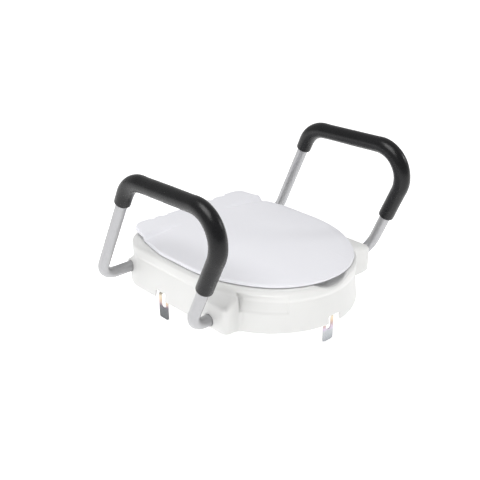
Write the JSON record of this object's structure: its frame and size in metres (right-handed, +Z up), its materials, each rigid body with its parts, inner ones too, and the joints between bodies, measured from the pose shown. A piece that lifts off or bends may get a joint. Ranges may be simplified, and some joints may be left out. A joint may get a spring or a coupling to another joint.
{
  "type": "raised toilet seat",
  "caption": "Raised toilet seat with a moulded riser body, hinged lid, slide-in padded armrests and adjustable steel clamps that grip the toilet bowl.",
  "frame": {"origin": "under the middle of the seat, level with the lower tips of the bowl clamps", "axes": "+Z up, -Y towards the front of the seat (the lid's hinge is at +Y), +X to the right of someone looking at the front"},
  "size_m": [0.5128, 0.4366, 0.3236],
  "materials": {
    "seat_plastic": "satin warm white moulding",
    "lid_plastic": "semi-gloss cool white moulding",
    "tube_paint": "satin silver-grey lacquer on steel tube",
    "grip_foam": "smooth-skinned closed-cell foam",
    "black_plastic": "fine-grained black moulding",
    "pad_rubber": "matt rubber",
    "zinc_steel": "zinc plate with an iridescent yellow passivation",
    "hinge_steel": "drawn bright steel"
  },
  "bodies": {
    "seat": {"seat_body": "seat_plastic", "hinge_pins": "hinge_steel", "rim_pads": "pad_rubber", "clamp_bolts": "zinc_steel", "clamp_washers": "zinc_steel"},
    "lid": {"lid": "lid_plastic", "lid_buffers": "pad_rubber"},
    "armrest_left": {"armrest_tube_left": "tube_paint", "armrest_grip_left": "grip_foam", "tube_plugs_left": "black_plastic"},
    "armrest_right": {"armrest_tube_right": "tube_paint", "armrest_grip_right": "grip_foam", "tube_plugs_right": "black_plastic"},
    "lock_knob_front_left": {"lock_knob_front_left": "black_plastic"},
    "lock_knob_front_right": {"lock_knob_front_right": "black_plastic"},
    "lock_knob_rear_left": {"lock_knob_rear_left": "black_plastic"},
    "lock_knob_rear_right": {"lock_knob_rear_right": "black_plastic"},
    "clamp_front": {"clamp_bracket_front": "zinc_steel", "clamp_pad_front": "pad_rubber"},
    "clamp_left": {"clamp_bracket_left": "zinc_steel", "clamp_pad_left": "pad_rubber"},
    "clamp_right": {"clamp_bracket_right": "zinc_steel", "clamp_pad_right": "pad_rubber"},
    "clamp_nut_front": {"clamp_nut_front": "zinc_steel"},
    "clamp_nut_left": {"clamp_nut_left": "zinc_steel"},
    "clamp_nut_right": {"clamp_nut_right": "zinc_steel"}
  },
  "joints": [
    {"name": "lid_hinge", "type": "hinge", "parent": "seat", "child": "lid", "pos_m": [0, 0.196, 0.141], "axis": [-1, 0, 0], "range_deg": [0, 105]},
    {"name": "armrest_left_slide", "type": "slide", "parent": "seat", "child": "armrest_left", "axis": [-1, 0, 0], "range_m": [0, 0.09]},
    {"name": "armrest_right_slide", "type": "slide", "parent": "seat", "child": "armrest_right", "axis": [1, 0, 0], "range_m": [0, 0.09]},
    {"name": "lock_knob_front_left_turn", "type": "hinge", "parent": "seat", "child": "lock_knob_front_left", "pos_m": [-0.134, -0.0935, 0.05], "axis": [0, 0, 1], "continuous": true},
    {"name": "lock_knob_front_right_turn", "type": "hinge", "parent": "seat", "child": "lock_knob_front_right", "pos_m": [0.134, -0.0935, 0.05], "axis": [0, 0, 1], "continuous": true},
    {"name": "lock_knob_rear_left_turn", "type": "hinge", "parent": "seat", "child": "lock_knob_rear_left", "pos_m": [-0.134, 0.18, 0.05], "axis": [0, 0, 1], "continuous": true},
    {"name": "lock_knob_rear_right_turn", "type": "hinge", "parent": "seat", "child": "lock_knob_rear_right", "pos_m": [0.134, 0.18, 0.05], "axis": [0, 0, 1], "continuous": true},
    {"name": "clamp_front_slide", "type": "slide", "parent": "seat", "child": "clamp_front", "axis": [0, -1, 0], "range_m": [-0.01, 0.01]},
    {"name": "clamp_left_slide", "type": "slide", "parent": "seat", "child": "clamp_left", "axis": [-1, 0, 0], "range_m": [-0.01, 0.01]},
    {"name": "clamp_right_slide", "type": "slide", "parent": "seat", "child": "clamp_right", "axis": [1, 0, 0], "range_m": [-0.01, 0.01]},
    {"name": "clamp_nut_front_turn", "type": "hinge", "parent": "seat", "child": "clamp_nut_front", "pos_m": [0, -0.176, 0.0465], "axis": [0, 0, 1], "continuous": true},
    {"name": "clamp_nut_left_turn", "type": "hinge", "parent": "seat", "child": "clamp_nut_left", "pos_m": [-0.148, 0.069, 0.0465], "axis": [0, 0, 1], "continuous": true},
    {"name": "clamp_nut_right_turn", "type": "hinge", "parent": "seat", "child": "clamp_nut_right", "pos_m": [0.148, 0.069, 0.0465], "axis": [0, 0, 1], "continuous": true}
  ]
}
